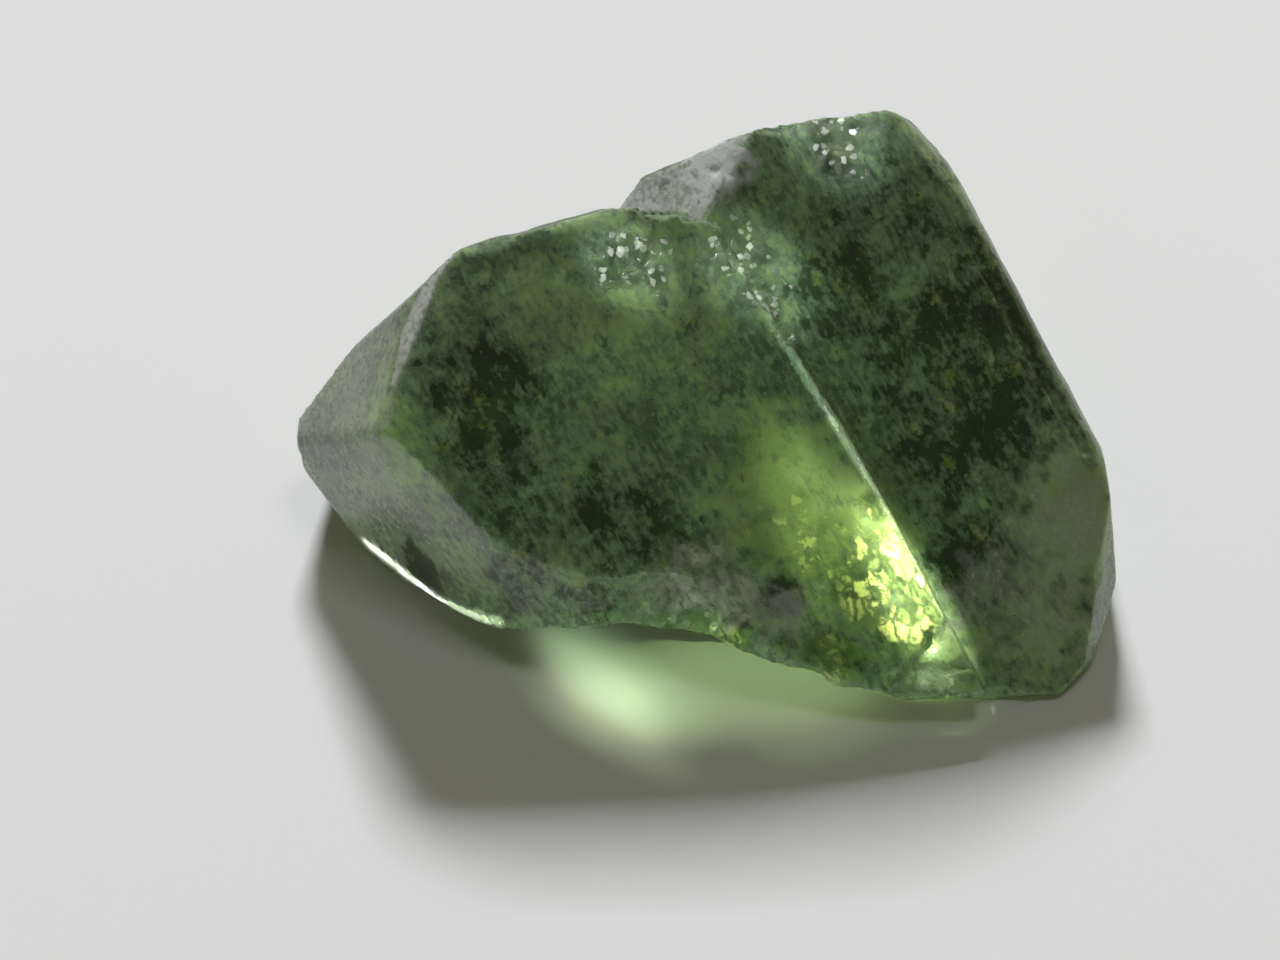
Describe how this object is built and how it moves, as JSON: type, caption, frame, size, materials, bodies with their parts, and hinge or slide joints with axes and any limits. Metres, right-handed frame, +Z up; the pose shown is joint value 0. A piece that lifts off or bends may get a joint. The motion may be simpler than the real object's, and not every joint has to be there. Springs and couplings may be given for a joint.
{
  "type": "gemstone crystal",
  "caption": "Uncut green peridot crystal: two stones grown side by side with a straight step between them, sloping front faces, chipped edges and a flat base.",
  "frame": {"origin": "bottom centre of the bounding box, on the surface that the crystal lies on", "axes": "+X along the crystal's longest extent, from its thin left end to the taller right stone; +Z up; the sloping broad faces look towards -Y"},
  "size_m": [0.0214, 0.0152, 0.0091],
  "materials": {
    "peridot": "natural growth faces with a soft gloss, fine growth lines, frosted etch pits and rippled chips"
  },
  "bodies": {
    "root": {"peridot_crystal": "peridot"}
  },
  "joints": []
}
